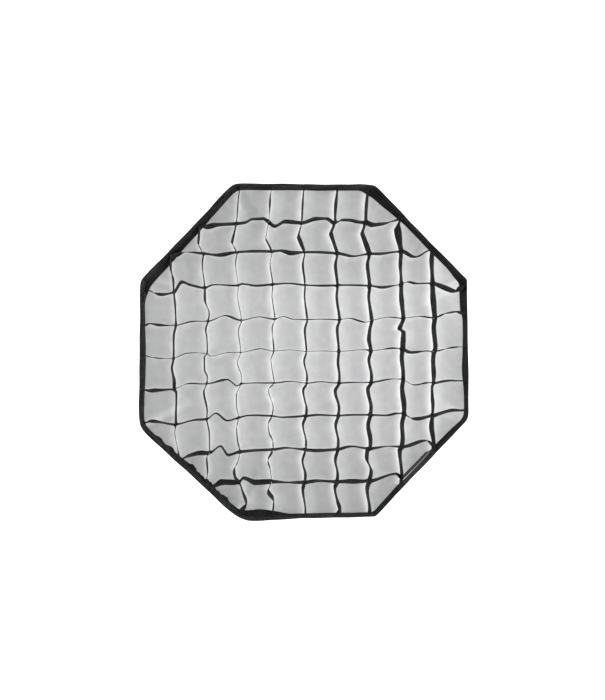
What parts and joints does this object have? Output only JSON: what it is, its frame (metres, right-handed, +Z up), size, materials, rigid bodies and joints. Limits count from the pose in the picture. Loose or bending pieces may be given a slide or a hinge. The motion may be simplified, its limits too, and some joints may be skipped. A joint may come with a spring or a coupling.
{
  "type": "softbox fabric grid",
  "caption": "Octagonal fabric egg-crate grid of interlaced black strips with square cells, on a bound white diffusion panel; it pulls off the panel, and both fold in half.",
  "frame": {"origin": "centre of the octagon on the rear plane, where the panel's hook faces meet the softbox", "axes": "+Z up along the vertical strips; the grid faces -Y, away from the softbox; +X to the right seen from the front"},
  "size_m": [0.7392, 0.0415, 0.7392],
  "materials": {
    "strip_nylon": "matt black woven nylon",
    "wall_nylon": "matt black woven nylon",
    "hook_tape": "black hook tape, sewn",
    "binding_webbing": "ribbed black webbing",
    "diffusion_cloth": "translucent white nylon"
  },
  "bodies": {
    "panel_upper": {"diffusion_cloth_upper": "diffusion_cloth", "binding_top": "binding_webbing", "binding_top_right": "binding_webbing", "binding_right_upper": "binding_webbing", "binding_left_upper": "binding_webbing", "binding_top_left": "binding_webbing"},
    "panel_lower": {"diffusion_cloth_lower": "diffusion_cloth", "binding_right_lower": "binding_webbing", "binding_bottom_right": "binding_webbing", "binding_bottom": "binding_webbing", "binding_bottom_left": "binding_webbing", "binding_left_lower": "binding_webbing"},
    "grid_upper": {"vertical_strip_1_upper": "strip_nylon", "vertical_strip_2_upper": "strip_nylon", "vertical_strip_3_upper": "strip_nylon", "vertical_strip_4_upper": "strip_nylon", "vertical_strip_5_upper": "strip_nylon", "vertical_strip_6_upper": "strip_nylon", "vertical_strip_7_upper": "strip_nylon", "vertical_strip_8_upper": "strip_nylon", "vertical_strip_9_upper": "strip_nylon", "horizontal_strip_1": "strip_nylon", "horizontal_strip_2": "strip_nylon", "horizontal_strip_3": "strip_nylon", "horizontal_strip_4": "strip_nylon", "horizontal_strip_5": "strip_nylon", "wall_top": "wall_nylon", "wall_top_right": "wall_nylon", "wall_right_upper": "wall_nylon", "wall_left_upper": "wall_nylon", "wall_top_left": "wall_nylon", "hook_tape_top": "hook_tape", "hook_tape_top_right": "hook_tape", "hook_tape_right_upper": "hook_tape", "hook_tape_left_upper": "hook_tape", "hook_tape_top_left": "hook_tape"},
    "grid_lower": {"vertical_strip_1_lower": "strip_nylon", "vertical_strip_2_lower": "strip_nylon", "vertical_strip_3_lower": "strip_nylon", "vertical_strip_4_lower": "strip_nylon", "vertical_strip_5_lower": "strip_nylon", "vertical_strip_6_lower": "strip_nylon", "vertical_strip_7_lower": "strip_nylon", "vertical_strip_8_lower": "strip_nylon", "vertical_strip_9_lower": "strip_nylon", "horizontal_strip_6": "strip_nylon", "horizontal_strip_7": "strip_nylon", "horizontal_strip_8": "strip_nylon", "horizontal_strip_9": "strip_nylon", "wall_right_lower": "wall_nylon", "wall_bottom_right": "wall_nylon", "wall_bottom": "wall_nylon", "wall_bottom_left": "wall_nylon", "wall_left_lower": "wall_nylon", "hook_tape_right_lower": "hook_tape", "hook_tape_bottom_right": "hook_tape", "hook_tape_bottom": "hook_tape", "hook_tape_bottom_left": "hook_tape", "hook_tape_left_lower": "hook_tape"}
  },
  "joints": [
    {"name": "grid_release", "type": "slide", "parent": "panel_upper", "child": "grid_upper", "axis": [0, -1, 0], "range_m": [0, 0.12]},
    {"name": "grid_fold", "type": "hinge", "parent": "grid_upper", "child": "grid_lower", "pos_m": [0, -0.042, 0], "axis": [-1, 0, 0], "range_deg": [0, 178]},
    {"name": "panel_fold", "type": "hinge", "parent": "panel_upper", "child": "panel_lower", "pos_m": [0, 0.0003, 0], "axis": [1, 0, 0], "range_deg": [0, 178]}
  ]
}
